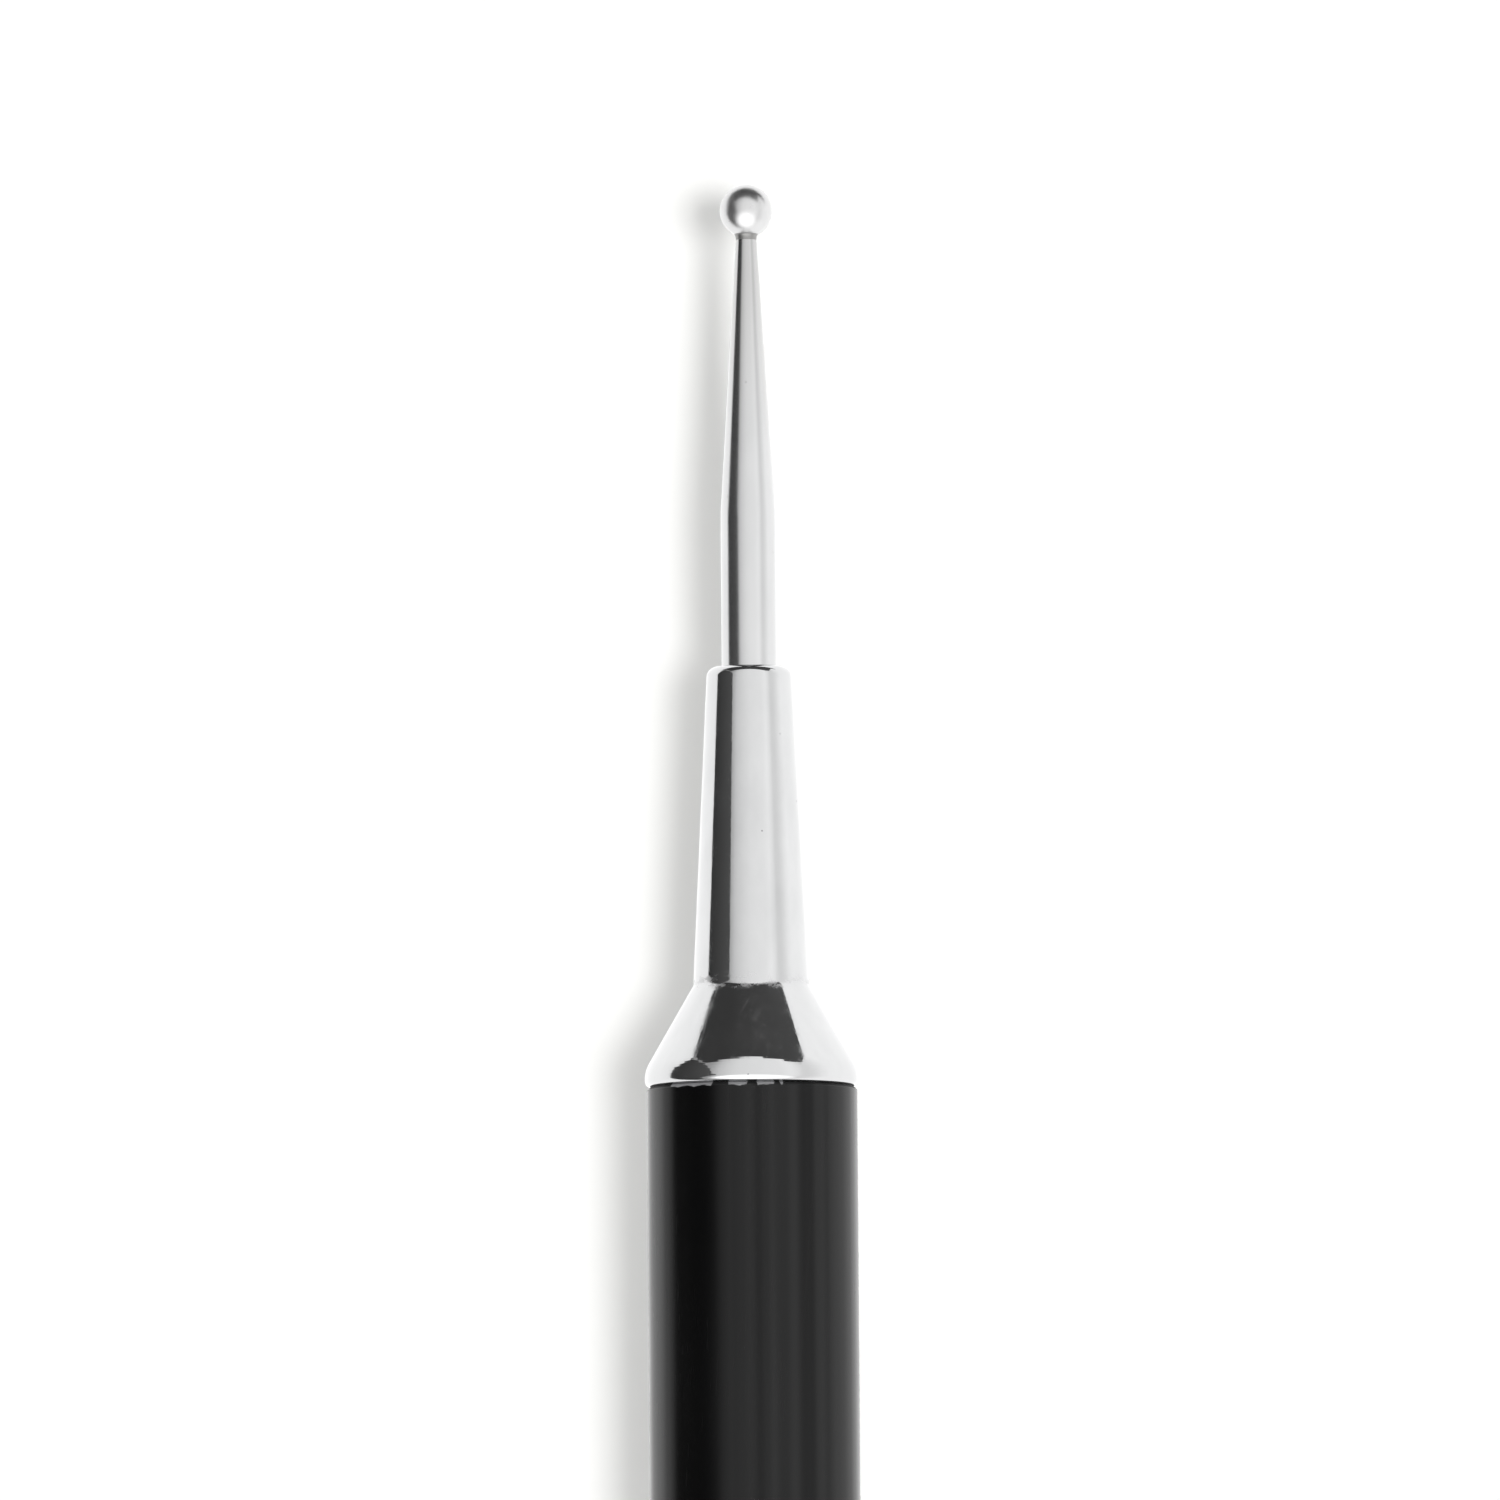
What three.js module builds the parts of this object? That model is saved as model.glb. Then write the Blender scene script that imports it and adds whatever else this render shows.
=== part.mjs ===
// A double-ended clay tool: a ball stylus on one end, a silicone clay shaper on the other.
//
// Sizes are in millimetres. The tool lies on its side with its axis along +Y, the ball towards +Y,
// resting on the plane z = 0. Each end is drawn once, along its own axis, as "reach": 0 is the
// barrel's end face, positive runs out towards the tip and negative runs into the barrel.
import * as THREE from "three";

// ---- Driving dimensions --------------------------------------------------------------------

const BARREL = { diameter: 8, bore: 6.4, length: 100, bevel: 0.12, innerBevel: 0.1 };

const FERRULE = {
  rim: 8.16, // the widest ring, a little proud of the barrel
  rimFlareCorner: 0.65, // reach of the corner that the rim's round cuts off
  rimRound: 1.3,
  rimUnderRound: 0.28,
  noseFoot: 4.42, // diameter where the flare meets the nose
  noseFootReach: 3.89,
  footFillet: 0.4,
  noseTip: 3.22, // diameter at the mouth, before the lip is rounded
  length: 16.05,
  lipRound: 0.38,
  bore: 2.14,
  boreDepth: 14.1,
  boreChamfer: 0.06,
  vent: 1.2,
  ventCone: 0.3,
};

const SPIGOT = { diameter: 5, length: 7, chamfer: 0.3, relief: 4.4, reliefLength: 0.9, reliefRamp: 0.25 };

const BUSH = {
  diameter: 6.36,
  length: 10,
  recess: 0.3,
  bore: 5.06,
  boreDepth: 7.7,
  drill: 3.4,
  chamfer: 0.2,
  knurlFrom: 1.6, // measured back from the bush's outer face
  knurlTo: 8.4,
  toothDepth: 0.12,
};

const SHANK = {
  diameter: 2.1,
  depth: 14, // how far it sits in the ferrule
  chamfer: 0.2,
  knurlFrom: 0.6, // measured out from its inner end
  knurlTo: 6.6,
  toothDepth: 0.08,
};

const STEM = { taperReach: 21.95, taperRound: 6, neck: 0.78, tenon: 0.46, tenonLength: 0.84 };

const BALL = { diameter: 2, centreReach: 33.53, neckGap: 0.03, socket: 0.52, socketSpare: 0.06 };

const BRAZE = { legOnStem: 0.12, ringOnBall: 0.46, throat: 0.42, clearance: 0.004 };

const PIN = {
  core: 1.2,
  coreLength: 6.6,
  shoulder: 0.05,
  barbs: 3,
  barbPitch: 1.7,
  barbHeight: 0.22,
  point: 0.3,
};

const TIP = {
  base: 3.2,
  baseRound: 0.15,
  seatGap: 0.03,
  collar: 1.8, // straight part next to the ferrule
  collarBlend: 8,
  length: 13.4,
  point: 0.64,
  pointRound: 0.3,
  coreClearance: 0.02,
};

const BODY_SIDES = 40; // sides of the barrel, bushes and ferrules
const FINE_SIDES = 24; // sides of the thin turned pieces
const ROUND_STEPS = 3; // chords in each small round of a profile
const BALL_STEPS = 14; // chords from the ball's socket to its far pole
const KNURL_RAMP = 0.15; // run-in at each end of a knurled band

// ---- Finishes ------------------------------------------------------------------------------

const chromePlate = () => finish(0xd8dadd, 0.06, 1);
const polishedSteel = () => finish(0xc6c8ca, 0.14, 1);
const silverSolder = () => finish(0xb9b7b0, 0.3, 1);
const turnedBrass = () => finish(0xb5924c, 0.32, 1);
const blackLacquer = () => finish(0x121213, 0.3, 0);
const greySilicone = () => finish(0x8d8f90, 0.62, 0);

function finish(color, roughness, metalness) {
  return new THREE.MeshStandardMaterial({ color, roughness, metalness });
}

// ---- Profiles ------------------------------------------------------------------------------

// A corner is [radius, reach] or [radius, reach, round]. Each round becomes a tangent arc.
function rounded(corners) {
  return corners.flatMap(([radius, reach, round], i) =>
    round ? cornerArc(corners[i - 1], corners[i], corners[i + 1], round) : [[radius, reach]],
  );
}

function cornerArc(before, corner, after, radius) {
  const at = new THREE.Vector2(corner[0], corner[1]);
  const back = new THREE.Vector2(before[0], before[1]).sub(at).normalize();
  const ahead = new THREE.Vector2(after[0], after[1]).sub(at).normalize();
  const half = back.angleTo(ahead) / 2;
  const middle = back.clone().add(ahead).normalize();
  const centre = at.clone().addScaledVector(middle, radius / Math.sin(half));
  const start = at.clone().addScaledVector(back, radius / Math.tan(half)).sub(centre);
  const end = at.clone().addScaledVector(ahead, radius / Math.tan(half)).sub(centre);
  const turn = Math.atan2(start.cross(end), start.dot(end));
  return arc([centre.x, centre.y], radius, start.angle(), start.angle() + turn, ROUND_STEPS);
}

function arc([centreRadius, centreReach], radius, from, to, steps) {
  return Array.from({ length: steps + 1 }, (_, i) => {
    const angle = THREE.MathUtils.lerp(from, to, i / steps);
    return [centreRadius + radius * Math.cos(angle), centreReach + radius * Math.sin(angle)];
  });
}

// The rows of a knurled band on a cylinder. The third number is how deep the tooth roots lie.
function knurlRows(radius, from, to, toothDepth) {
  return [
    [radius, from, 0],
    [radius, from + KNURL_RAMP, toothDepth],
    [radius, to - KNURL_RAMP, toothDepth],
    [radius, to, 0],
  ];
}

// ---- Turned pieces -------------------------------------------------------------------------

// Turns a profile about the tool's axis. Facets touch the true circle, with one facet facing
// straight down, and every second edge of a knurled row is pushed in to make the teeth.
function turned(name, profile, sides, material) {
  const acrossCorners = 1 / Math.cos(Math.PI / sides);
  const points = profile.map(([radius, reach]) => new THREE.Vector2(radius * acrossCorners, reach));
  const geometry = new THREE.LatheGeometry(points, sides, Math.PI / sides);
  cutTeeth(geometry, profile, sides);
  const mesh = new THREE.Mesh(geometry, material);
  mesh.name = name;
  return mesh;
}

function cutTeeth(geometry, profile, sides) {
  const position = geometry.getAttribute("position");
  for (let side = 1; side < sides; side += 2) {
    profile.forEach(([radius, , toothDepth], row) => {
      if (!toothDepth) return;
      const vertex = side * profile.length + row;
      const shrink = 1 - toothDepth / radius;
      position.setX(vertex, position.getX(vertex) * shrink);
      position.setZ(vertex, position.getZ(vertex) * shrink);
    });
  }
}

// A ring's profile closes on its own first point.
function turnedRing(name, profile, sides, material) {
  return turned(name, [...profile, profile[0]], sides, material);
}

function makeBarrel() {
  const { diameter, bore, length, bevel, innerBevel } = BARREL;
  const [outer, inner] = [diameter / 2, bore / 2];
  const profile = [
    [outer - bevel, 0],
    [outer, bevel],
    [outer, length - bevel],
    [outer - bevel, length],
    [inner + innerBevel, length],
    [inner, length - innerBevel],
    [inner, innerBevel],
    [inner + innerBevel, 0],
  ];
  return turnedRing("barrel", profile, BODY_SIDES, blackLacquer());
}

// A brass bush pressed into the barrel; the ferrule's spigot screws into it.
function makeBush(name) {
  const { diameter, length, recess, bore, boreDepth, drill, chamfer, knurlFrom, knurlTo, toothDepth } = BUSH;
  const [outer, inner, small] = [diameter / 2, bore / 2, drill / 2];
  const [face, back] = [-recess, -recess - length];
  const profile = [
    [small + chamfer, back],
    [outer - chamfer, back],
    [outer, back + chamfer],
    ...knurlRows(outer, face - knurlTo, face - knurlFrom, toothDepth),
    [outer, face - chamfer],
    [outer - chamfer, face],
    [inner + chamfer, face],
    [inner, face - chamfer],
    [inner, face - boreDepth],
    [small, face - boreDepth - (inner - small) / 2],
    [small, back + chamfer],
  ];
  return turnedRing(name, profile, BODY_SIDES, turnedBrass());
}

// The nose cone: spigot, seat, rim, flare and nose outside; a stepped bore inside.
function makeFerrule(name) {
  const f = FERRULE;
  const [spigot, relief, rim] = [SPIGOT.diameter / 2, SPIGOT.relief / 2, f.rim / 2];
  const [bore, vent] = [f.bore / 2, f.vent / 2];
  const boreEnd = f.length - f.boreDepth;
  const profile = rounded([
    [vent, -SPIGOT.length],
    [spigot - SPIGOT.chamfer, -SPIGOT.length],
    [spigot, SPIGOT.chamfer - SPIGOT.length],
    [spigot, -SPIGOT.reliefLength],
    [relief, SPIGOT.reliefRamp - SPIGOT.reliefLength],
    [relief, 0],
    [rim, 0, f.rimUnderRound],
    [rim, f.rimFlareCorner, f.rimRound],
    [f.noseFoot / 2, f.noseFootReach, f.footFillet],
    [f.noseTip / 2, f.length, f.lipRound],
    [bore + f.boreChamfer, f.length],
    [bore, f.length - f.boreChamfer],
    [bore, boreEnd],
    [vent, boreEnd - f.ventCone],
  ]);
  return turnedRing(name, profile, BODY_SIDES, chromePlate());
}

// The knurled shank that both tips are held by, from its inner end outwards.
function shankRows() {
  const [radius, inner] = [SHANK.diameter / 2, FERRULE.length - SHANK.depth];
  return [
    [0, inner],
    [radius - SHANK.chamfer, inner],
    [radius, inner + SHANK.chamfer],
    ...knurlRows(radius, inner + SHANK.knurlFrom, inner + SHANK.knurlTo, SHANK.toothDepth),
  ];
}

function stemFaceReach() {
  const socket = BALL.socket / 2;
  return BALL.centreReach - Math.sqrt((BALL.diameter / 2) ** 2 - socket ** 2) - BALL.neckGap;
}

function makeStem() {
  const [neck, tenon, face] = [STEM.neck / 2, STEM.tenon / 2, stemFaceReach()];
  const outline = rounded([
    [SHANK.diameter / 2, FERRULE.length],
    [SHANK.diameter / 2, STEM.taperReach, STEM.taperRound],
    [neck, face],
    [tenon, face],
    [tenon, face + STEM.tenonLength],
    [0, face + STEM.tenonLength],
  ]);
  return turned("stylus_stem", [...shankRows(), ...outline], FINE_SIDES, polishedSteel());
}

// A steel ball drilled on one side for the stem's tenon.
function makeBall() {
  const [radius, socket, centre] = [BALL.diameter / 2, BALL.socket / 2, BALL.centreReach];
  const socketEnd = stemFaceReach() + STEM.tenonLength + BALL.socketSpare;
  const mouthAngle = -Math.acos(socket / radius);
  const profile = [
    [0, socketEnd],
    [socket, socketEnd],
    ...arc([0, centre], radius, mouthAngle, Math.PI / 2, BALL_STEPS).slice(0, -1),
    [0, centre + radius],
  ];
  return turned("stylus_ball", profile, FINE_SIDES, polishedSteel());
}

// The ring of solder in the corner between the stem's neck and the ball.
function makeBraze() {
  const { legOnStem, ringOnBall, throat, clearance } = BRAZE;
  const [ball, neck, face] = [BALL.diameter / 2, STEM.neck / 2, stemFaceReach()];
  const slope = (SHANK.diameter / 2 - neck) / (face - STEM.taperReach);
  const stemRadiusAt = (reach) => neck + slope * (face - reach) + clearance;
  const ballReachAt = (radius) => BALL.centreReach - Math.sqrt(ball ** 2 - radius ** 2) - clearance;
  const foot = face - legOnStem;
  const profile = [
    [stemRadiusAt(foot), foot],
    [throat, face - legOnStem / 3],
    [ringOnBall, ballReachAt(ringOnBall)],
    [stemRadiusAt(face), ballReachAt(stemRadiusAt(face))],
    [stemRadiusAt(face), face],
  ];
  return turnedRing("ball_braze", profile, FINE_SIDES, silverSolder());
}

// The barbed core that the silicone is moulded round, grown outwards by a clearance.
function coreRows(clearance) {
  const [core, start] = [PIN.core / 2 + clearance, FERRULE.length + PIN.shoulder];
  const end = start + PIN.coreLength + clearance;
  const barbs = Array.from({ length: PIN.barbs }, (_, i) => {
    const reach = start + PIN.barbPitch * (i + 1);
    return [
      [core, reach - clearance],
      [core + PIN.barbHeight, reach - clearance],
      [core, reach + PIN.barbPitch / 2 + clearance],
    ];
  }).flat();
  return [[core, start], ...barbs, [core, end - PIN.point], [core - PIN.point, end], [0, end]];
}

function makePin() {
  const shoulder = [SHANK.diameter / 2, FERRULE.length - PIN.shoulder];
  const profile = [...shankRows(), shoulder, [PIN.core / 2, shoulder[1]], ...coreRows(0)];
  return turned("shaper_pin", profile, FINE_SIDES, polishedSteel());
}

// The soft tip: a short collar, then a taper to a small rounded point, hollow over the core.
function makeTip() {
  const start = FERRULE.length + TIP.seatGap;
  const hollow = coreRows(TIP.coreClearance).reverse();
  const mouth = [hollow[hollow.length - 1][0], start];
  const outline = rounded([
    mouth,
    [TIP.base / 2, start, TIP.baseRound],
    [TIP.base / 2, start + TIP.collar, TIP.collarBlend],
    [TIP.point / 2, start + TIP.length, TIP.pointRound],
    [0, start + TIP.length],
  ]);
  return turned("shaper_tip", [...hollow.slice(0, -1), ...outline], FINE_SIDES, greySilicone());
}

// ---- Assembly ------------------------------------------------------------------------------

const frontReach = BALL.centreReach + BALL.diameter / 2;
const rearReach = FERRULE.length + TIP.seatGap + TIP.length;
const frontSeat = (BARREL.length + rearReach - frontReach) / 2; // centres the whole tool on y = 0

const barrel = makeBarrel();
barrel.position.y = frontSeat - BARREL.length;

const frontEnd = new THREE.Group();
frontEnd.position.y = frontSeat;
frontEnd.add(makeBush("front_bush"), makeFerrule("front_ferrule"), makeStem(), makeBraze(), makeBall());

const rearEnd = new THREE.Group();
rearEnd.position.y = frontSeat - BARREL.length;
rearEnd.rotation.z = Math.PI;
rearEnd.add(makeBush("rear_bush"), makeFerrule("rear_ferrule"), makePin(), makeTip());

const tool = new THREE.Group();
tool.position.z = FERRULE.rim / 2; // the two rims carry it
tool.add(barrel, frontEnd, rearEnd);

export default tool;
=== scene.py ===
"""Looks of a double-ended clay tool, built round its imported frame.

The tool lies on its two ferrule rims with its axis along +Y. The front end (+Y) is a steel ball
stylus, the rear end a grey silicone taper point. Each sits in a chrome nose cone, and a black
lacquered tube joins them. Lengths are in metres. Each end is drawn as (radius, reach) pairs:
reach 0 is the tube's end face, and positive reach runs out towards that end's tip.
"""
import math

import bpy
import numpy as np
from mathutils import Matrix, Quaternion, Vector


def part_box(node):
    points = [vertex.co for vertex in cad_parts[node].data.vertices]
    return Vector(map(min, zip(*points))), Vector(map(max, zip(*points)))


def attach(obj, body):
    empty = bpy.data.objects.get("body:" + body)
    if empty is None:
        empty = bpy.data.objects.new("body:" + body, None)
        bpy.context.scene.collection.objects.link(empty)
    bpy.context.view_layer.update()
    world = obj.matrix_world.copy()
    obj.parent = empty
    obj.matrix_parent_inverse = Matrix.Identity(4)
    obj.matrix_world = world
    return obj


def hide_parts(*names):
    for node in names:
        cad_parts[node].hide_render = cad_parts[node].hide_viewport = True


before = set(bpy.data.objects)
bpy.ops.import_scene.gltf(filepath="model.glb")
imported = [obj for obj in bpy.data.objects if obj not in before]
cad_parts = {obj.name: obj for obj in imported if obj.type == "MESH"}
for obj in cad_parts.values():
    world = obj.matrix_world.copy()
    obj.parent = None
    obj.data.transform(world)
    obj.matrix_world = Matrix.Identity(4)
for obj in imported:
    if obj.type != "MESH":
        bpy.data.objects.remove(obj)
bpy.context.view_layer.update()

MM = 0.001
MICRON = 1e-6

# ---- Where the frame puts things -------------------------------------------------------------

tube_low, tube_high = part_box("barrel")
TUBE_RADIUS = (tube_high.x - tube_low.x) / 2
TUBE_LENGTH = tube_high.y - tube_low.y
AXIS_HEIGHT = (tube_high.z + tube_low.z) / 2


class End:
    """One end of the tool: where the tube ends, and which way it points (+1 is +Y)."""

    def __init__(self, seat, side):
        self.seat = seat
        self.side = side

    def place(self, radius, reach, angle):
        """Points in the frame. Angle 0 is the top of the tool."""
        x = self.side * radius * np.sin(angle)
        y = self.seat + self.side * reach + 0 * x
        z = AXIS_HEIGHT + radius * np.cos(angle)
        return np.stack([x, y, z], axis=-1)

    def reaches(self, node):
        """How far in and out a CAD node of this end runs."""
        low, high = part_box(node)
        return sorted((self.side * (low.y - self.seat), self.side * (high.y - self.seat)))


FRONT = End(tube_high.y, +1)
REAR = End(tube_low.y, -1)


def node_radius(node):
    low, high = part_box(node)
    return (high.x - low.x) / 2


# ---- Driving dimensions that no box tells ------------------------------------------------------

TUBE_BORE = 3.2 * MM
TUBE_BEVEL = 0.12 * MM
TUBE_INNER_BEVEL = 0.1 * MM

RIM_CORNER_REACH = 0.65 * MM
RIM_ROUND = 1.3 * MM
RIM_UNDER_ROUND = 0.28 * MM
NOSE_FOOT = (2.21 * MM, 3.89 * MM)
NOSE_FOOT_FILLET = 0.4 * MM
NOSE_TIP_RADIUS = 1.61 * MM
NOSE_LIP_ROUND = 0.38 * MM
FERRULE_BORE = 1.07 * MM
FERRULE_BORE_DEPTH = 14.1 * MM
FERRULE_BORE_CHAMFER = 0.06 * MM
VENT_RADIUS = 0.6 * MM
VENT_CONE = 0.3 * MM

SPIGOT_RADIUS = 2.5 * MM
SPIGOT_CHAMFER = 0.3 * MM
RELIEF_RADIUS = 2.2 * MM
RELIEF_LENGTH = 0.9 * MM
RELIEF_RAMP = 0.25 * MM

THREAD_PITCH = 0.5 * MM
THREAD_DEPTH = 0.27 * MM
THREAD_FADE = 0.5 * MM

BUSH_BORE = 2.53 * MM
BUSH_BORE_DEPTH = 7.7 * MM
BUSH_DRILL = 1.7 * MM
BUSH_CHAMFER = 0.2 * MM
BUSH_KNURL = (1.6 * MM, 8.4 * MM)
BUSH_KNURL_DEPTH = 0.12 * MM
BUSH_KNURL_TEETH = 28
BUSH_KNURL_SLANT = math.radians(30)  # from the axis

SHANK_CHAMFER = 0.2 * MM
SHANK_KNURL = (0.6 * MM, 6.6 * MM)
SHANK_KNURL_DEPTH = 0.08 * MM
SHANK_KNURL_TEETH = 24
KNURL_FADE = 0.15 * MM

STEM_TAPER_REACH = 21.95 * MM
STEM_TAPER_ROUND = 6 * MM
STEM_NECK = 0.39 * MM
STEM_TENON = 0.23 * MM
STEM_TENON_LENGTH = 0.84 * MM

BALL_RADIUS = 1 * MM
BALL_SOCKET = 0.26 * MM
BALL_SOCKET_SPARE = 0.06 * MM

BRAZE_FOOT = 0.12 * MM
BRAZE_RING = 0.46 * MM
BRAZE_CLEARANCE = 0.004 * MM
BRAZE_FILLET_ROWS = 10
BRAZE_SEAT_ROWS = 6  # where it lies against the ball

PIN_CORE = 0.6 * MM
PIN_CORE_LENGTH = 6.6 * MM
PIN_SHOULDER = 0.05 * MM
PIN_BARBS = 3
PIN_BARB_PITCH = 1.7 * MM
PIN_BARB_HEIGHT = 0.22 * MM
PIN_POINT = 0.3 * MM

TIP_BASE_ROUND = 0.15 * MM
TIP_COLLAR = 1.8 * MM
TIP_COLLAR_BLEND = 8 * MM
TIP_POINT_RADIUS = 0.32 * MM
TIP_POINT_ROUND = 0.3 * MM
TIP_CORE_CLEARANCE = 0.02 * MM
TIP_SEAM_HEIGHT = 0.012 * MM
TIP_SEAM_WIDTH = math.radians(2.5)

SEGMENTS = 192  # facets round a turned piece
TIP_SEGMENTS = 288
KNURL_SEGMENTS = 224  # eight facets to each of the bush's knurl teeth
ARC_STEP = math.radians(5)
SUPPORT = 0.02 * MM  # rows this close to each corner keep the shading of long faces true
LONG_SIDE = 4 * SUPPORT  # a side longer than this gets them
FINE_ROW = 0.0625 * MM  # row spacing under a thread or knurl
SHARP_EDGE = math.radians(28)

# Where the lacquer is chipped off the tube's edges, in degrees round the axis from the top.
EDGE_CHIPS = ((-52, -22), (-14, -2), (2, 13), (15, 18), (97, 104), (151, 158), (-133, -121))

# ---- Outlines ----------------------------------------------------------------------------------


def arc(centre, radius, start, stop):
    """Points of an arc, both ends included. Angles run from +radius towards +reach."""
    steps = max(2, math.ceil(abs(stop - start) / ARC_STEP))
    turns = [start + (stop - start) * i / steps for i in range(steps + 1)]
    return [(centre[0] + radius * math.cos(a), centre[1] + radius * math.sin(a)) for a in turns]


def corner_arc(before, corner, after, radius):
    """The arc that rounds a corner, tangent to both of its sides."""
    at = Vector(corner[:2])
    back = (Vector(before[:2]) - at).normalized()
    ahead = (Vector(after[:2]) - at).normalized()
    half = back.angle(ahead) / 2
    centre = at + (back + ahead).normalized() * radius / math.sin(half)
    start = at + back * radius / math.tan(half) - centre
    stop = at + ahead * radius / math.tan(half) - centre
    begin = math.atan2(start.y, start.x)
    turn = math.atan2(start.x * stop.y - start.y * stop.x, start.dot(stop))
    return arc(centre, radius, begin, begin + turn)


def cornered(*corners):
    """Points of an outline. A corner with a third number is rounded by that radius."""
    points = []
    for i, corner in enumerate(corners):
        if len(corner) == 3:
            points += corner_arc(corners[i - 1], corner, corners[i + 1], corner[2])
        else:
            points.append(corner)
    return points


def rows_of(points):
    """An outline's rows, (radius, reach, cut), with support rows beside its long sides' ends."""
    rows = []
    for start, stop in zip(points, points[1:]):
        rows.append((*start, None))
        length = math.dist(start, stop)
        if length > LONG_SIDE:
            for share in (SUPPORT / length, 1 - SUPPORT / length):
                rows.append((*(a + (b - a) * share for a, b in zip(start, stop)), None))
    return rows + [(*points[-1], None)]


def cut_rows(radius, start, stop, cut):
    """Closely spaced rows on a cylinder. cut(angles, reach) is how deep the tool goes there."""
    count = round(abs(stop - start) / FINE_ROW)
    return [(radius, start + (stop - start) * i / count, cut) for i in range(count + 1)]


def tooth(turns):
    """A triangle wave of height 1 that repeats once a turn."""
    return 1 - np.abs(2 * np.mod(turns, 1) - 1)


def fade(reach, start, stop, width):
    """0 at both ends of a band, and 1 from width inside them."""
    low, high = sorted((start, stop))
    return min(1, max(0, (reach - low) / width), max(0, (high - reach) / width))


def thread_cut(start, stop):
    """A right-hand V thread."""
    def cut(angles, reach):
        groove = tooth(reach / THREAD_PITCH - angles / math.tau)
        return THREAD_DEPTH * fade(reach, start, stop, THREAD_FADE) * groove
    return cut


def diamond_knurl(radius, start, stop):
    """Two sets of slanting grooves that cross."""
    twist = BUSH_KNURL_TEETH * math.tan(BUSH_KNURL_SLANT) / (math.tau * radius)
    def cut(angles, reach):
        teeth = BUSH_KNURL_TEETH * angles / math.tau
        grooves = np.maximum(tooth(teeth + twist * reach), tooth(teeth - twist * reach))
        return BUSH_KNURL_DEPTH * fade(reach, start, stop, KNURL_FADE) * grooves
    return cut


def straight_knurl(start, stop):
    """Grooves along the axis."""
    def cut(angles, reach):
        grooves = tooth(SHANK_KNURL_TEETH * angles / math.tau)
        return SHANK_KNURL_DEPTH * fade(reach, start, stop, KNURL_FADE) * grooves
    return cut


# ---- Turned meshes -----------------------------------------------------------------------------


def turned_points(end, rows, segments):
    """The mesh's points, and each row's ring of indices. A row on the axis has one point."""
    angles = np.linspace(0, math.tau, segments, endpoint=False)
    points = []
    rings = []
    for radius, reach, cut in rows:
        depth = cut(angles, reach) if cut else 0 * angles
        ring = end.place(radius - depth, reach, angles)
        kept = ring if radius > 0 else ring[:1]
        rings.append([len(points) + i % len(kept) for i in range(segments)])
        points.extend(kept.tolist())
    return points, rings


def band(lower, upper):
    """The faces between two rings. They are triangles where one ring is a point."""
    count = len(lower)
    for i in range(count):
        j = (i + 1) % count
        quad = [lower[i], lower[j], upper[j], upper[i]]
        yield list(dict.fromkeys(quad))


def turned(name, end, rows, materials, slot_of=None, segments=SEGMENTS):
    """Turns rows into a closed mesh. The rows start and end on the axis, or close on themselves.

    slot_of(radius, reach) picks the material of the faces round a point of the outline.
    """
    points, rings = turned_points(end, rows, segments)
    pairs = list(zip(range(len(rows)), range(1, len(rows))))
    if rows[0][0] > 0:
        pairs.append((len(rows) - 1, 0))
    faces = []
    slots = []
    for lower, upper in pairs:
        middle = [(rows[lower][i] + rows[upper][i]) / 2 for i in range(2)]
        faces += band(rings[lower], rings[upper])
        slots += [slot_of(*middle) if slot_of else 0] * segments
    mesh = bpy.data.meshes.new(name)
    mesh.from_pydata(points, [], faces)
    mesh.polygons.foreach_set("material_index", slots)
    mesh.shade_smooth()
    mesh.set_sharp_from_angle(angle=SHARP_EDGE)
    for material in materials:
        mesh.materials.append(material)
    piece = bpy.data.objects.new(name, mesh)
    bpy.context.scene.collection.objects.link(piece)
    return piece


def fit(piece, node):
    """The piece rides with the tool and stands for one CAD node."""
    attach(piece, "root")
    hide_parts(node)


# ---- Finishes ----------------------------------------------------------------------------------

# Linear colours. A pair is the darker and the lighter end of a mottled surface.
CHROME_TONES = ((0.54, 0.543, 0.547, 1), (0.645, 0.647, 0.65, 1))
CHROME_PIT = (0.16, 0.16, 0.17, 1)
STEEL_TONES = ((0.545, 0.548, 0.552, 1), (0.645, 0.645, 0.648, 1))
# Painted shade: the steel's darkest tone, used towards the solder in place of the darker
# reflection there.
STEEL_PAINTED_SHADE = (0.46, 0.458, 0.454, 1)
STEEL_PIT = (0.2, 0.2, 0.2, 1)
BALL_TONES = ((0.56, 0.56, 0.562, 1), (0.66, 0.66, 0.66, 1))
SOLDER_TONES = ((0.24, 0.238, 0.234, 1), (0.36, 0.358, 0.352, 1))
LACQUER_TONES = ((0.0014, 0.0014, 0.0015, 1), (0.0026, 0.0026, 0.0027, 1))
LACQUER_WORN = (0.48, 0.48, 0.49, 1)
ALUMINIUM_TONES = ((0.5, 0.5, 0.51, 1), (0.66, 0.66, 0.67, 1))
BRASS_TONES = ((0.38, 0.22, 0.06, 1), (0.56, 0.37, 0.13, 1))
SILICONE_TONES = ((0.215, 0.225, 0.235, 1), (0.275, 0.285, 0.295, 1))
SILICONE_SMUDGE = (0.33, 0.29, 0.25, 1)
SILICONE_DUST = (0.6, 0.6, 0.6, 1)
FLOOR_TONES = ((0.9, 0.9, 0.885, 1), (0.91, 0.91, 0.895, 1))
WHITE = (1, 1, 1, 1)

NOISE_SPAN = (0.3, 0.7)  # where nearly all values of a noise lie
SCRATCH_EDGE = 0.04  # how far the noise rises from the side of a scratch to its middle
PIT_FLOOR = 0.5  # share of a pit's radius that is flat
CHIP_EDGE = 1  # degrees over which a chip starts and stops
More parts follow.
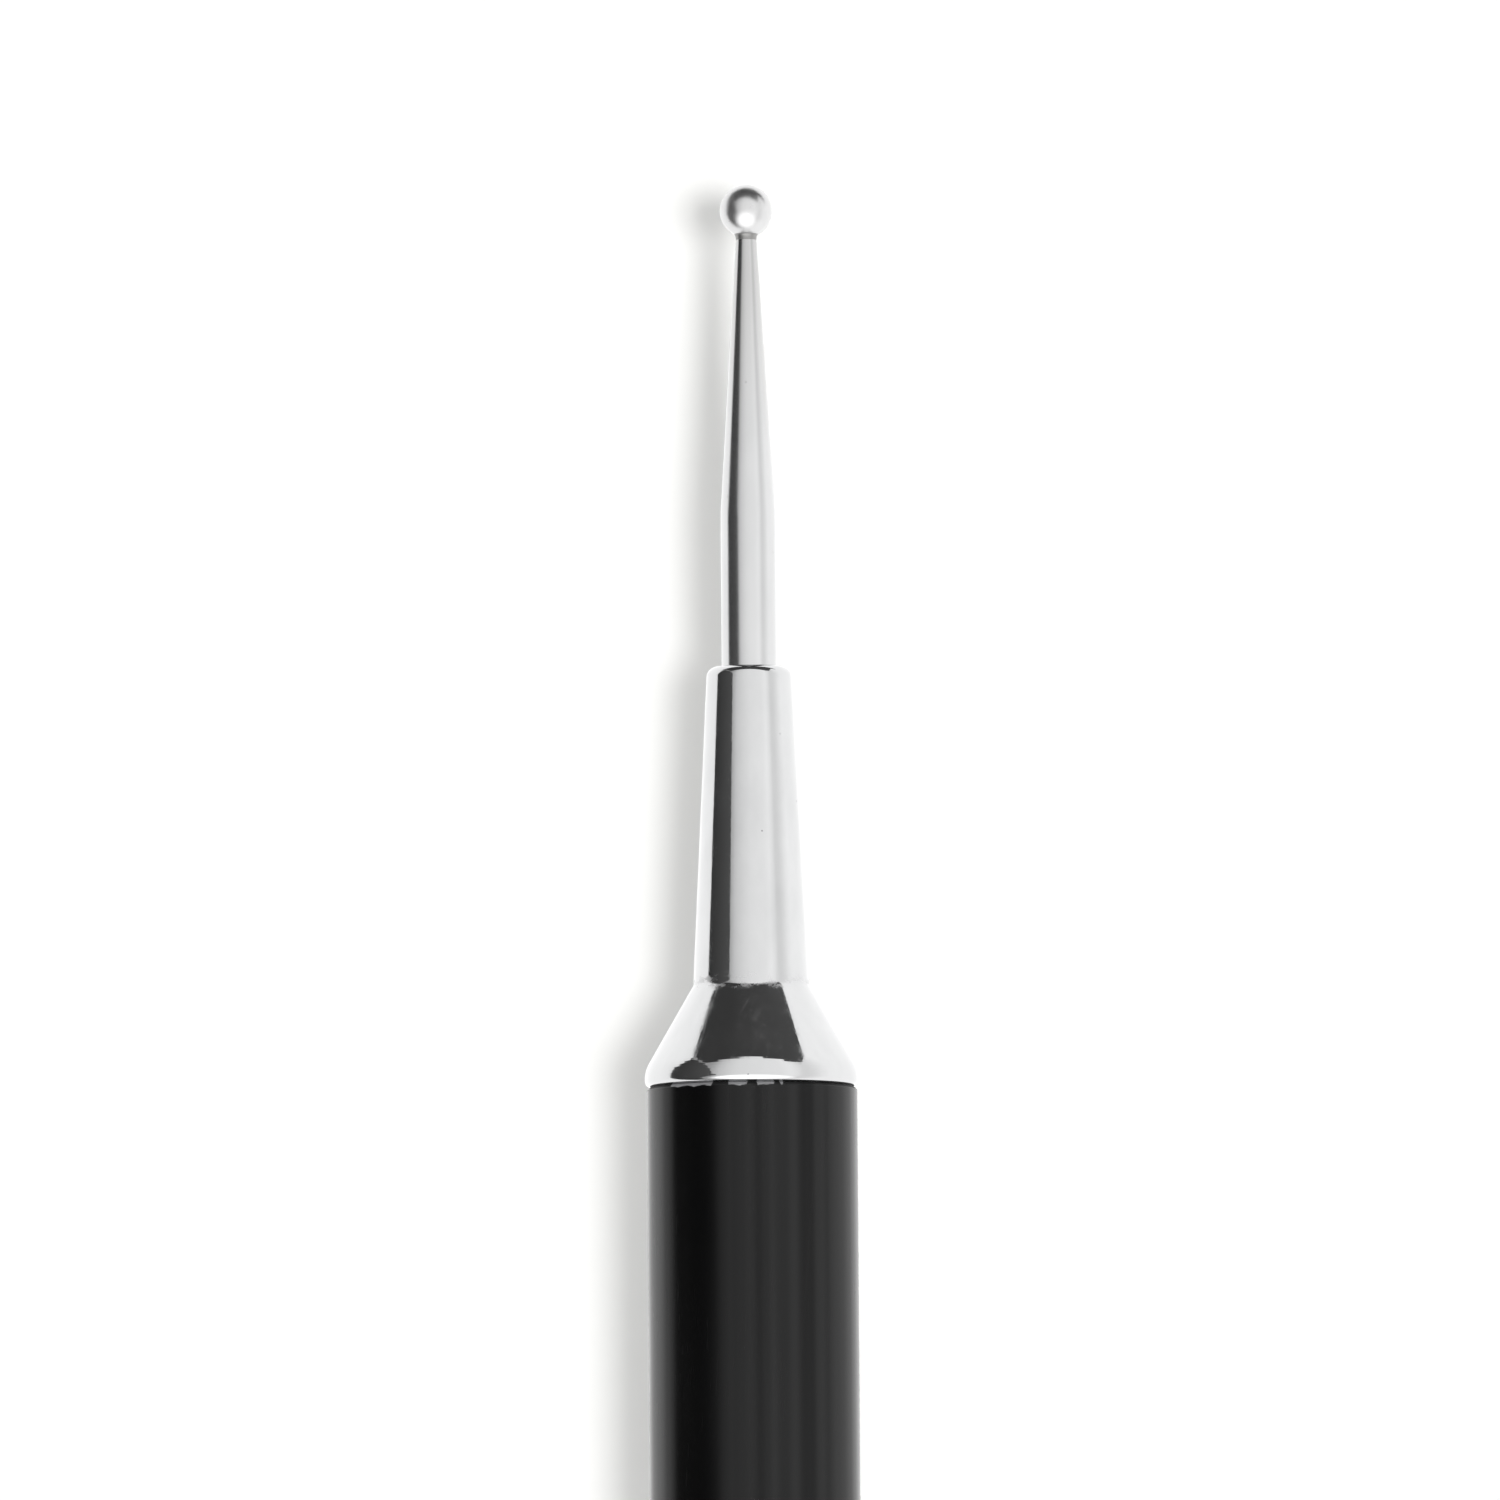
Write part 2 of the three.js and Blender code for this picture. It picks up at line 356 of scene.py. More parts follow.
# The reach over which the unpolished corner starts, and over which it ends, read inwards.
CORNER_START = (NOSE_FOOT[1] - 0.3 * MM, NOSE_FOOT[1] - 0.1 * MM)
CORNER_END = (NOSE_FOOT[1] + 0.5 * MM, NOSE_FOOT[1] + 0.15 * MM)
PAINTED_SHADE_FROM = (-24 * MM, -31 * MM)  # edge distance over which painted shade darkens the steel
PAINTED_SHADE_SHARE = 0.7  # how near the painted shade brings the steel to its darkest tone
WORN_WIDTH = 0.5 * MM  # how far in from an end face the lacquer may wear through
WORN_LIMITS = (1.42, 1.5)  # the sum of wear at which the lacquer goes
MATT_FADE = (0.5 * TUBE_BEVEL, 1.2 * TUBE_BEVEL)  # edge distance over which the matt bevel ends
MATT_ROUGHNESS = 0.35  # on top of the lacquer's own
SMUDGE_LENGTH = 4 * MM
NO_BOUNCE = 0.5  # a ray whose Diffuse Depth is below this has met no matte surface yet


class Finish:
    """A node material while it is wired up. Most methods add nodes and return an output."""

    def __init__(self, name):
        self.material = bpy.data.materials.new(name)
        self.material.use_nodes = True
        self.tree = self.material.node_tree
        self.shader = self.tree.nodes["Principled BSDF"]

    def wire(self, value, socket):
        """Links an output to the socket, or sets the socket to a plain value."""
        if isinstance(value, bpy.types.NodeSocket):
            self.tree.links.new(value, socket)
        else:
            socket.default_value = value

    def add(self, kind, output=0, **inputs):
        node = self.tree.nodes.new("ShaderNode" + kind)
        for name, value in inputs.items():
            self.wire(value, node.inputs[name.replace("_", " ")])
        return node.outputs[output]

    def surface(self, **inputs):
        for name, value in inputs.items():
            self.wire(value, self.shader.inputs[name.replace("_", " ")])

    def maths(self, operation, *values):
        node = self.tree.nodes.new("ShaderNodeMath")
        node.operation = operation
        for value, socket in zip(values, node.inputs):
            self.wire(value, socket)
        return node.outputs[0]

    def coordinates(self):
        """The point's own X, Y and Z in metres."""
        apart = self.tree.nodes.new("ShaderNodeSeparateXYZ")
        self.wire(self.add("TexCoord", output="Object"), apart.inputs[0])
        return apart.outputs

    def place(self, scale, turn=(0, 0, 0)):
        """The point's own coordinates, turned and then stretched."""
        where = self.add("TexCoord", output="Object")
        turned_to = self.add("Mapping", Vector=where, Rotation=turn)
        return self.add("Mapping", Vector=turned_to, Scale=scale)

    def grain(self, scale, turn=(0, 0, 0), detail=3.0, roughness=0.5):
        """Noise from 0 to 1 with that many features a metre along X, Y and Z."""
        where = self.place(scale, turn)
        noise = dict(Vector=where, Scale=1.0, Detail=detail, Roughness=roughness)
        return self.add("TexNoise", output="Fac", **noise)

    def ramp(self, value, low, high, from_value=0.0, to_value=1.0):
        """value between low and high, stretched to run from one value to the other."""
        limits = {"From Min": low, "From Max": high, "To Min": from_value, "To Max": to_value}
        node = self.tree.nodes.new("ShaderNodeMapRange")
        self.wire(value, node.inputs["Value"])
        for name, limit in limits.items():
            node.inputs[name].default_value = limit
        return node.outputs[0]

    def blend(self, share, first, second):
        """The first colour where share is 0, and the second where it is 1."""
        node = self.tree.nodes.new("ShaderNodeMix")
        node.data_type = "RGBA"
        self.wire(share, node.inputs["Factor"])
        self.wire(first, node.inputs[6])
        self.wire(second, node.inputs[7])
        return node.outputs[2]

    def vary(self, noise, low, high):
        """A value that drifts between low and high as the noise does."""
        return self.ramp(noise, *NOISE_SPAN, low, high)

    def total(self, *values):
        result = values[0]
        for value in values[1:]:
            result = self.maths("ADD", result, value)
        return result

    def times(self, value, factor):
        return self.maths("MULTIPLY", value, factor)

    def relief(self, *layers):
        """A normal from (pattern, height in microns) pairs. A negative height goes inwards."""
        heights = [self.times(pattern, height) for pattern, height in layers]
        return self.add("Bump", Height=self.total(*heights), Distance=MICRON, Strength=1.0)

    def glow(self, strength, color=WHITE):
        """The material shines by itself and shows in metal.

        The part of its light that metal would throw on to a matte surface is left out.
        """
        bounces = self.add("LightPath", output="Diffuse Depth")
        shows = self.maths("LESS_THAN", bounces, NO_BOUNCE)
        light = self.add("Emission", Color=color, Strength=self.times(shows, strength))
        self.wire(light, self.tree.nodes["Material Output"].inputs["Surface"])
        self.tree.nodes.remove(self.shader)
        return self.material

    def scratches(self, across, along, turn, rarity):
        """Thin straight scratches, 1 in a scratch: features a metre across and along them."""
        lines = self.grain((across, along, across), turn, detail=1.0)
        return self.ramp(lines, rarity, rarity + SCRATCH_EDGE)

    def pits(self, spacing, size, rarity):
        """Small round pits, 1 at the middle of a pit.

        A cell of that spacing has one if its random value is over rarity.
        """
        where = self.place((1 / spacing,) * 3)
        cells = self.tree.nodes.new("ShaderNodeTexVoronoi")
        cells.inputs["Scale"].default_value = 1.0
        self.wire(where, cells.inputs["Vector"])
        rim = size / spacing
        close = self.ramp(cells.outputs["Distance"], rim, PIT_FLOOR * rim)
        chance = self.add("SeparateColor", Color=cells.outputs["Color"])
        return self.times(close, self.maths("GREATER_THAN", chance, rarity))

    def around(self, spans):
        """1 where the angle round the tool's axis, in degrees from the top, is in a span."""
        where = self.coordinates()
        up = self.maths("SUBTRACT", where["Z"], AXIS_HEIGHT)
        angle = self.maths("DEGREES", self.maths("ARCTAN2", where["X"], up))
        inside = 0.0
        for start, stop in spans:
            begun = self.ramp(angle, start, start + CHIP_EDGE)
            not_over = self.ramp(angle, stop, stop - CHIP_EDGE)
            inside = self.maths("MAXIMUM", inside, self.times(begun, not_over))
        return inside

    def edge_distance(self):
        """How far the point is from the nearer end face of the tube, positive inside the tube."""
        middle = (FRONT.seat + REAR.seat) / 2
        from_middle = self.maths("SUBTRACT", self.coordinates()["Y"], middle)
        return self.maths("SUBTRACT", TUBE_LENGTH / 2, self.maths("ABSOLUTE", from_middle))

    def foot_band(self):
        """1 in the corner between nose and flare, where the polishing wheel doesn't reach."""
        reach = self.times(self.edge_distance(), -1)
        return self.times(self.ramp(reach, *CORNER_START), self.ramp(reach, *CORNER_END))


def chrome_finish():
    """Bright plate over turned brass: waves, haze, hairlines, pits, and residue in the corner."""
    finish = Finish("chrome_plate")
    corner = finish.foot_band()
    waves = finish.grain((900, 300, 900), detail=1.0)
    smears = finish.grain((2600, 1200, 2600), detail=5.0)
    ripple = finish.grain((4000, 2500, 4000), detail=2.0)
    hairlines = finish.scratches(16000, 500, (0.6, 0.2, 0.5), 0.66)
    crossing = finish.scratches(14000, 700, (-0.5, 0.3, -0.7), 0.69)
    pits = finish.pits(0.6 * MM, 0.035 * MM, 0.72)
    drag = finish.times(finish.grain((5500, 2500, 5500), detail=3.0), corner)
    patches = finish.grain((1800, 3000, 1800), detail=4.0, roughness=0.6)
    residue = finish.times(finish.ramp(patches, 0.47, 0.6), corner)
    cloud = finish.grain((900, 450, 900), detail=5.0)
    marks = finish.maths("MAXIMUM", finish.maths("MAXIMUM", hairlines, crossing), pits)
    finish.surface(
        Metallic=1.0,
        Base_Color=finish.blend(pits, finish.blend(cloud, *CHROME_TONES), CHROME_PIT),
        Roughness=finish.total(
            finish.vary(cloud, 0.03, 0.08),
            finish.ramp(smears, 0.45, 0.7, 0.0, 0.06),
            finish.times(marks, 0.08),
            finish.times(residue, 0.33),
        ),
        Normal=finish.relief(
            (waves, 4.0),
            (ripple, 1.2),
            (drag, 4.0),
            (hairlines, -0.12),
            (crossing, -0.1),
            (pits, -3.0),
        ),
    )
    return finish.material


def steel_finish():
    """Ground and polished steel: turning rings, polishing marks, and painted shade that darkens it
    towards the solder.
    """
    finish = Finish("polished_steel")
    rings = finish.grain((900, 22000, 900), detail=2.0)
    strokes = finish.grain((9000, 260, 9000), detail=3.0)
    waves = finish.grain((1500, 600, 1500), detail=1.0)
    pits = finish.pits(0.35 * MM, 0.03 * MM, 0.7)
    cloud = finish.grain((700, 300, 700), detail=4.0)
    # Painted shade: the stem's colour darkens towards the solder, in place of its darker
    # reflection near the neck.
    painted_shade = finish.times(finish.ramp(finish.edge_distance(), *PAINTED_SHADE_FROM), PAINTED_SHADE_SHARE)
    tone = finish.blend(painted_shade, finish.blend(cloud, *STEEL_TONES), STEEL_PAINTED_SHADE)
    finish.surface(
        Metallic=1.0,
        Base_Color=finish.blend(pits, tone, STEEL_PIT),
        Roughness=finish.ramp(finish.total(strokes, rings), 0.6, 1.4, 0.15, 0.23),
        Normal=finish.relief((rings, 0.1), (strokes, 0.5), (waves, 2.0), (pits, -2.0)),
    )
    return finish.material


def ball_finish():
    """Tumbled steel: turning rings almost polished out, small dents, a soft satin sheen."""
    finish = Finish("tumbled_steel")
    rings = finish.grain((500, 30000, 500), detail=2.0)
    peel = finish.grain((7000,) * 3, detail=3.0)
    dents = finish.pits(0.22 * MM, 0.03 * MM, 0.6)
    cloud = finish.grain((2600,) * 3, detail=4.0)
    finish.surface(
        Metallic=1.0,
        Base_Color=finish.blend(cloud, *BALL_TONES),
        Roughness=finish.vary(cloud, 0.27, 0.33),
        Normal=finish.relief((rings, 0.06), (peel, 0.8), (dents, -1.5)),
    )
    return finish.material


def solder_finish():
    """Silver solder left as it flowed: soft dimples, faintly yellow and duller than the steel."""
    finish = Finish("silver_solder")
    dimples = finish.grain((6000,) * 3, detail=3.0)
    stain = finish.grain((2500,) * 3, detail=4.0)
    finish.surface(
        Metallic=1.0,
        Base_Color=finish.blend(stain, *SOLDER_TONES),
        Roughness=finish.vary(stain, 0.34, 0.46),
        Normal=finish.relief((dimples, 8.0)),
    )
    return finish.material


def lacquer_wear(finish):
    """1 where the lacquer is gone: in ragged spots along the end edges, inside the chips."""
    edge = finish.ramp(finish.edge_distance(), 0.0, WORN_WIDTH, 1.0, 0.0)
    ragged = finish.times(finish.grain((3000,) * 3), 0.35)
    chipped = finish.times(finish.around(EDGE_CHIPS), 0.5)
    return finish.ramp(finish.total(edge, ragged, chipped), *WORN_LIMITS)


def lacquer_finish():
    """Semi-gloss black lacquer: flow and wiping streaks along it, dust in it, worn at the ends."""
    finish = Finish("black_lacquer")
    flow = finish.grain((700, 60, 700), detail=2.0)
    peel = finish.grain((2600, 1800, 2600), detail=2.0)
    dust = finish.pits(0.9 * MM, 0.03 * MM, 0.6)
    rubbed = finish.scratches(9000, 90, (0.05, 0, 0.08), 0.67)
    handling = finish.grain((260, 90, 260), detail=5.0)
    streaks = finish.grain((1000, 4, 1000), detail=2.0)
    worn = lacquer_wear(finish)
    finish.surface(
        Base_Color=finish.blend(worn, finish.blend(handling, *LACQUER_TONES), LACQUER_WORN),
        Metallic=worn,
        Specular_IOR_Level=finish.ramp(streaks, 0.35, 0.65, 0.2, 0.36),
        Roughness=finish.total(
            finish.vary(handling, 0.19, 0.25),
            finish.ramp(finish.edge_distance(), *MATT_FADE, MATT_ROUGHNESS, 0.0),
            finish.times(rubbed, 0.06),
            finish.times(worn, 0.4),
        ),
        Normal=finish.relief((flow, 3.0), (peel, 0.5), (dust, 2.5), (rubbed, -0.15)),
    )
    return finish.material


def aluminium_finish():
    """The tube's own metal, drawn in the bore and turned at the end faces."""
    finish = Finish("bare_aluminium")
    draw_lines = finish.grain((7000, 120, 7000), detail=3.0)
    oxide = finish.grain((900,) * 3, detail=5.0)
    finish.surface(
        Metallic=1.0,
        Base_Color=finish.blend(oxide, *ALUMINIUM_TONES),
        Roughness=finish.vary(oxide, 0.28, 0.42),
        Normal=finish.relief((draw_lines, 2.5)),
    )
    return finish.material


def brass_finish():
    """Turned brass: tool marks round the piece and a little tarnish."""
    finish = Finish("turned_brass")
    rings = finish.grain((500, 16000, 500), detail=2.0)
    tarnish = finish.grain((1100,) * 3, detail=5.0)
    finish.surface(
        Metallic=1.0,
        Base_Color=finish.blend(tarnish, *BRASS_TONES),
        Roughness=finish.vary(tarnish, 0.2, 0.38),
        Normal=finish.relief((rings, 0.8)),
    )
    return finish.material


def silicone_finish():
    """Satin moulded silicone: fine mould texture, faint mottling, a clay-polished point."""
    finish = Finish("grey_silicone")
    satin = finish.grain((12000,) * 3, detail=3.0)
    mottle = finish.grain((700, 350, 700), detail=5.0)
    dust = finish.times(finish.pits(0.5 * MM, 0.04 * MM, 0.55), 0.5)
    point_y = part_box("shaper_tip")[0].y
    use = finish.ramp(finish.coordinates()["Y"], point_y + SMUDGE_LENGTH, point_y)
    grey = finish.blend(mottle, *SILICONE_TONES)
    smudged = finish.blend(finish.times(use, mottle), grey, SILICONE_SMUDGE)
    finish.surface(
        Base_Color=finish.blend(dust, smudged, SILICONE_DUST),
        Roughness=finish.total(finish.vary(mottle, 0.5, 0.62), finish.times(use, -0.14)),
        Specular_IOR_Level=0.4,
        Subsurface_Weight=0.25,
        Subsurface_Radius=(1.0, 0.95, 0.9),
        Subsurface_Scale=0.3 * MM,
        Normal=finish.relief((satin, 2.0), (mottle, 6.0)),
    )
    return finish.material


CHROME = chrome_finish()
STEEL = steel_finish()
BALL_STEEL = ball_finish()
SOLDER = solder_finish()
LACQUER = lacquer_finish()
ALUMINIUM = aluminium_finish()
BRASS = brass_finish()
SILICONE = silicone_finish()

# ---- Pieces ------------------------------------------------------------------------------------


def make_tube():
    """The handle's tube: lacquer on the outside and over the bevels, bare metal elsewhere."""
    outline = [
        (TUBE_RADIUS - TUBE_BEVEL, -TUBE_LENGTH),
        (TUBE_RADIUS, TUBE_BEVEL - TUBE_LENGTH),
        (TUBE_RADIUS, -TUBE_BEVEL),
        (TUBE_RADIUS - TUBE_BEVEL, 0),
        (TUBE_BORE + TUBE_INNER_BEVEL, 0),
        (TUBE_BORE, -TUBE_INNER_BEVEL),
        (TUBE_BORE, TUBE_INNER_BEVEL - TUBE_LENGTH),
        (TUBE_BORE + TUBE_INNER_BEVEL, -TUBE_LENGTH),
    ]
    def slot_of(radius, reach):
        return 0 if radius > TUBE_RADIUS - TUBE_BEVEL else 1
    return turned("tube", FRONT, rows_of(outline), [LACQUER, ALUMINIUM], slot_of)


def make_bush(name, end, node):
    """A brass bush: diamond knurl outside, the ferrule's thread inside."""
    back, face = end.reaches(node)
    outer = node_radius(node)
    knurl = (face - BUSH_KNURL[1], face - BUSH_KNURL[0])
    bore = (face - BUSH_CHAMFER, face - BUSH_BORE_DEPTH)
    outside = [
        (BUSH_DRILL + BUSH_CHAMFER, back),
        (outer - BUSH_CHAMFER, back),
        (outer, back + BUSH_CHAMFER),
    ]
    mouth = [
        (outer, face - BUSH_CHAMFER),
        (outer - BUSH_CHAMFER, face),
        (BUSH_BORE + BUSH_CHAMFER, face),
    ]
    drill_cone = face - BUSH_BORE_DEPTH - (BUSH_BORE - BUSH_DRILL) / 2
    rows = rows_of(outside)
    rows += cut_rows(outer, *knurl, diamond_knurl(outer, *knurl))
    rows += rows_of(mouth)
    rows += cut_rows(BUSH_BORE, *bore, thread_cut(*bore))
    rows += rows_of([(BUSH_DRILL, drill_cone), (BUSH_DRILL, back + BUSH_CHAMFER)])
    return turned(name, end, rows, [BRASS], segments=KNURL_SEGMENTS)


def make_ferrule(name, end, node):
    """The nose cone: threaded spigot, rim, flare and nose outside, a stepped bore inside."""
    inner, length = end.reaches(node)
    rim = node_radius(node)
    bore_end = length - FERRULE_BORE_DEPTH
    thread = (inner + SPIGOT_CHAMFER, -RELIEF_LENGTH)
    tail = [(VENT_RADIUS, inner), (SPIGOT_RADIUS - SPIGOT_CHAMFER, inner)]
    outside = cornered(
        (RELIEF_RADIUS, RELIEF_RAMP - RELIEF_LENGTH),
        (RELIEF_RADIUS, 0),
        (rim, 0, RIM_UNDER_ROUND),
        (rim, RIM_CORNER_REACH, RIM_ROUND),
        (*NOSE_FOOT, NOSE_FOOT_FILLET),
        (NOSE_TIP_RADIUS, length, NOSE_LIP_ROUND),
        (FERRULE_BORE + FERRULE_BORE_CHAMFER, length),
        (FERRULE_BORE, length - FERRULE_BORE_CHAMFER),
        (FERRULE_BORE, bore_end),
        (VENT_RADIUS, bore_end - VENT_CONE),
    )
    spigot = cut_rows(SPIGOT_RADIUS, *thread, thread_cut(*thread))
    return turned(name, end, rows_of(tail) + spigot + rows_of(outside), [CHROME])


def shank_rows(radius, inner):
    """The knurled inner end of the stem and of the pin."""
    knurl = (inner + SHANK_KNURL[0], inner + SHANK_KNURL[1])
    rows = rows_of([(0, inner), (radius - SHANK_CHAMFER, inner), (radius, inner + SHANK_CHAMFER)])
    return rows + cut_rows(radius, *knurl, straight_knurl(*knurl))


def make_stem():
    """The stylus stem: knurled shank, a soft break into the taper, and the tenon for the ball."""
    inner, tenon_end = FRONT.reaches("stylus_stem")
    shank = node_radius("stylus_stem")
    face = tenon_end - STEM_TENON_LENGTH
    outside = cornered(
        (shank, inner + SHANK_KNURL[1] + KNURL_FADE),
        (shank, STEM_TAPER_REACH, STEM_TAPER_ROUND),
        (STEM_NECK, face),
        (STEM_TENON, face),
        (STEM_TENON, tenon_end),
        (0, tenon_end),
    )
    return turned("stem", FRONT, shank_rows(shank, inner) + rows_of(outside), [STEEL])


def ball_centre():
    """The reach of the ball's middle."""
    return FRONT.reaches("stylus_ball")[1] - BALL_RADIUS


def make_ball():
    """The ball, drilled on one side for the stem's tenon."""
    centre = ball_centre()
    socket_end = FRONT.reaches("stylus_stem")[1] + BALL_SOCKET_SPARE
    mouth = -math.acos(BALL_SOCKET / BALL_RADIUS)
    skin = arc((0, centre), BALL_RADIUS, mouth, math.pi / 2)[:-1]
    points = [(0, socket_end), (BALL_SOCKET, socket_end)] + skin + [(0, centre + BALL_RADIUS)]
    return turned("ball", FRONT, [(*point, None) for point in points], [BALL_STEEL])


def make_braze():
    """The hollow fillet of solder between the stem's neck and the ball."""
    face = FRONT.reaches("stylus_stem")[1] - STEM_TENON_LENGTH
    slope = (node_radius("stylus_stem") - STEM_NECK) / (face - STEM_TAPER_REACH)
    def stem_radius(reach):
        return STEM_NECK + slope * (face - reach) + BRAZE_CLEARANCE
    def ball_reach(radius):
        return ball_centre() - math.sqrt(BALL_RADIUS**2 - radius**2) - BRAZE_CLEARANCE
    foot = face - BRAZE_FOOT
    ring = ball_reach(BRAZE_RING)
    inner = stem_radius(face)
    start = stem_radius(foot)
    fillet = []
    for turn in np.linspace(0, math.pi / 2, BRAZE_FILLET_ROWS):
        radius = start + (BRAZE_RING - start) * (1 - math.cos(turn))
        fillet.append((radius, foot + (ring - foot) * math.sin(turn)))
    seat = np.linspace(BRAZE_RING, inner, BRAZE_SEAT_ROWS)[1:]
    points = fillet + [(radius, ball_reach(radius)) for radius in seat] + [(inner, face)]
    return turned("solder_ring", FRONT, [(*point, None) for point in points], [SOLDER])


def core_points(start, clearance):
    """The barbed core that the silicone is moulded round, grown outwards by a clearance."""
    core = PIN_CORE + clearance
    end = start + PIN_CORE_LENGTH + clearance
    points = [(core, start)]
    for barb in range(1, PIN_BARBS + 1):
        reach = start + PIN_BARB_PITCH * barb
        points.append((core, reach - clearance))
        points.append((core + PIN_BARB_HEIGHT, reach - clearance))
        points.append((core, reach + PIN_BARB_PITCH / 2 + clearance))
    return points + [(core, end - PIN_POINT), (core - PIN_POINT, end), (0, end)]


def make_pin():
    """The rear pin: the stem's knurled shank, a shoulder, and the barbed core."""
    inner = REAR.reaches("shaper_pin")[0]
    shank = node_radius("shaper_pin")
    mouth = REAR.reaches("rear_ferrule")[1]
    shoulder = mouth - PIN_SHOULDER
    knurl_end = inner + SHANK_KNURL[1] + KNURL_FADE
    rest = [(shank, knurl_end), (shank, shoulder), (PIN_CORE, shoulder)]
    rows = shank_rows(shank, inner) + rows_of(rest + core_points(mouth + PIN_SHOULDER, 0))
    return turned("pin", REAR, rows, [STEEL])


def parting_line(angles, reach):
    """A mould seam stands up along both sides, so the cut there is negative."""
    aside = np.abs(np.abs(np.mod(angles + math.pi, math.tau) - math.pi) - math.pi / 2)
    return -TIP_SEAM_HEIGHT * np.clip(1 - aside / TIP_SEAM_WIDTH, 0, 1)


def make_tip():
    """The soft point: a collar, then a taper to a small rounded end, hollow over the core."""
    start, end = REAR.reaches("shaper_tip")
    base = node_radius("shaper_tip") - TIP_SEAM_HEIGHT
    mouth = REAR.reaches("rear_ferrule")[1]
    hollow = core_points(mouth + PIN_SHOULDER, TIP_CORE_CLEARANCE)[::-1]
    inner = [*hollow[:-1], (hollow[-1][0], start)]
    outside = cornered(
        inner[-1],
        (base, start, TIP_BASE_ROUND),
        (base, start + TIP_COLLAR, TIP_COLLAR_BLEND),
        (TIP_POINT_RADIUS, end, TIP_POINT_ROUND),
        (0, end),
    )[1:]
    rows = rows_of(inner)
    for radius, reach in outside:
        rows.append((radius, reach, parting_line if radius > TIP_POINT_RADIUS else None))
    return turned("silicone_point", REAR, rows, [SILICONE], segments=TIP_SEGMENTS)


fit(make_tube(), "barrel")
fit(make_bush("front_brass_bush", FRONT, "front_bush"), "front_bush")
fit(make_bush("rear_brass_bush", REAR, "rear_bush"), "rear_bush")
fit(make_ferrule("front_nose_cone", FRONT, "front_ferrule"), "front_ferrule")
fit(make_ferrule("rear_nose_cone", REAR, "rear_ferrule"), "rear_ferrule")
fit(make_stem(), "stylus_stem")
fit(make_ball(), "stylus_ball")
fit(make_braze(), "ball_braze")
fit(make_pin(), "shaper_pin")
fit(make_tip(), "shaper_tip")

# ---- Camera ------------------------------------------------------------------------------------

VIEW_WIDTH = 57.14 * MM  # how much of the tool the frame takes in
VIEW_LENS = 400  # mm, on a sensor 36 mm wide
SENSOR = 36
CAMERA_RANGE = (0.01, 20)
VIEW_ELEVATION = math.radians(85.4)
VIEW_ROLL = math.radians(-0.41)
VIEW_REACH = 12.88 * MM  # the frame's middle, out from the tube's front end
VIEW_ASIDE = 0.01 * MM


def make_camera():
    """Looks down on the front end from slightly behind it, as over a table."""
    camera = bpy.data.objects.new("camera", bpy.data.cameras.new("camera"))
    camera.data.lens = VIEW_LENS
    camera.data.sensor_width = SENSOR
    camera.data.clip_start, camera.data.clip_end = CAMERA_RANGE
    back = Vector((0, -math.cos(VIEW_ELEVATION), math.sin(VIEW_ELEVATION)))
    aim = Vector((VIEW_ASIDE, FRONT.seat + VIEW_REACH, AXIS_HEIGHT))
    camera.location = aim + back * VIEW_WIDTH * VIEW_LENS / SENSOR
    camera.rotation_mode = "QUATERNION"
    roll = Quaternion(back, VIEW_ROLL)
    camera.rotation_quaternion = roll @ (-back).to_track_quat("-Z", "Y")
    bpy.context.scene.collection.objects.link(camera)
    bpy.context.scene.camera = camera


# ---- Studio ------------------------------------------------------------------------------------
# A white sheet on a dark table, under a tent of diffusing cloth, with a black card on the left and
# another, leaning over, beyond the tip. None of these is lit: each glows by itself. The lamp
# behind the handle is a brighter disc painted into the cloth's glow, and the sheet's dimmer left
# edge is painted shade. All of these show only in reflections, and what metal would throw of their
# light on to the floor or any other matte surface is left out. The sky and three suns light the
# plain floor.

FLOOR_SIZE = 8.0
SKY_LIGHT = 0.06
# Towards the lamp, how bright it makes the floor, its degrees across, whether it casts shadows.
SUNS = {
    "key": ((0.33, -0.08, 1), 0.43, 20, True),
    "overhead": ((0, 0, 1), 0.04, 30, True),
    "fill": ((0, 0, 1), 0.54, 14, False),
}

TENT_RADIUS = 1.2
TENT_COLUMNS = 64
TENT_RINGS = 20
# How bright the tent is across the tool: degrees from straight up (+ is right), and brightness.
TENT_GLOW = (
    (-90, 0.4), (-50, 0.45), (-44, 0.6), (-35, 0.86), (-28, 0.96), (-14, 1.09), (0, 1.18),
    (30, 1.24), (42, 1.32), (50, 1.22), (57, 1.05), (65, 1.05), (74, 1.16), (83, 1.30), (90, 1.36),
)
LAMP_GLOW = 1.9
LAMP_TILT = math.radians(45)  # from straight up, towards the handle
LAMP_EDGES = (math.radians(43), math.radians(32))  # where its disc fades in, and is full

TIP_CARD_DISTANCE = (0.6, 0.4)  # along +Y, of the card's foot and of its leaning top
# Its corners as seen from the rim: azimuth (0 is +Y, + is right) and elevation in degrees.
TIP_CARD_FOOT = (-41, 36)  # azimuths only
TIP_CARD_TOP = (
    (52, 23.5), (48, 27), (44, 29.5), (38, 30.8), (30, 31.3), (20, 31.2), (10, 31.0), (0, 31.0),
    (-10, 30.8), (-20, 30.6), (-30, 30.3), (-40, 29.3), (-46, 28), (-50, 26.5),
)
TIP_CARD_GLOW = (0.058, 0.1)
SIDE_CARD_DISTANCE = 0.3
SIDE_CARD_TOP = (  # reach and height of its upper edge
    (-0.4, 0.1), (-0.2, 0.17), (-0.1, 0.28), (-0.04, 0.376), (0.02, 0.372), (0.035, 0.352),
    (0.05, 0.315), (0.09, 0.3), (0.15, 0.27), (0.235, 0.198), (0.3, 0.035),
)
SIDE_CARD_HEIGHT = 0.38  # where its glow is brightest
SIDE_CARD_GLOW = (0.055, 0.13)
TABLE_GLOW = 0.06
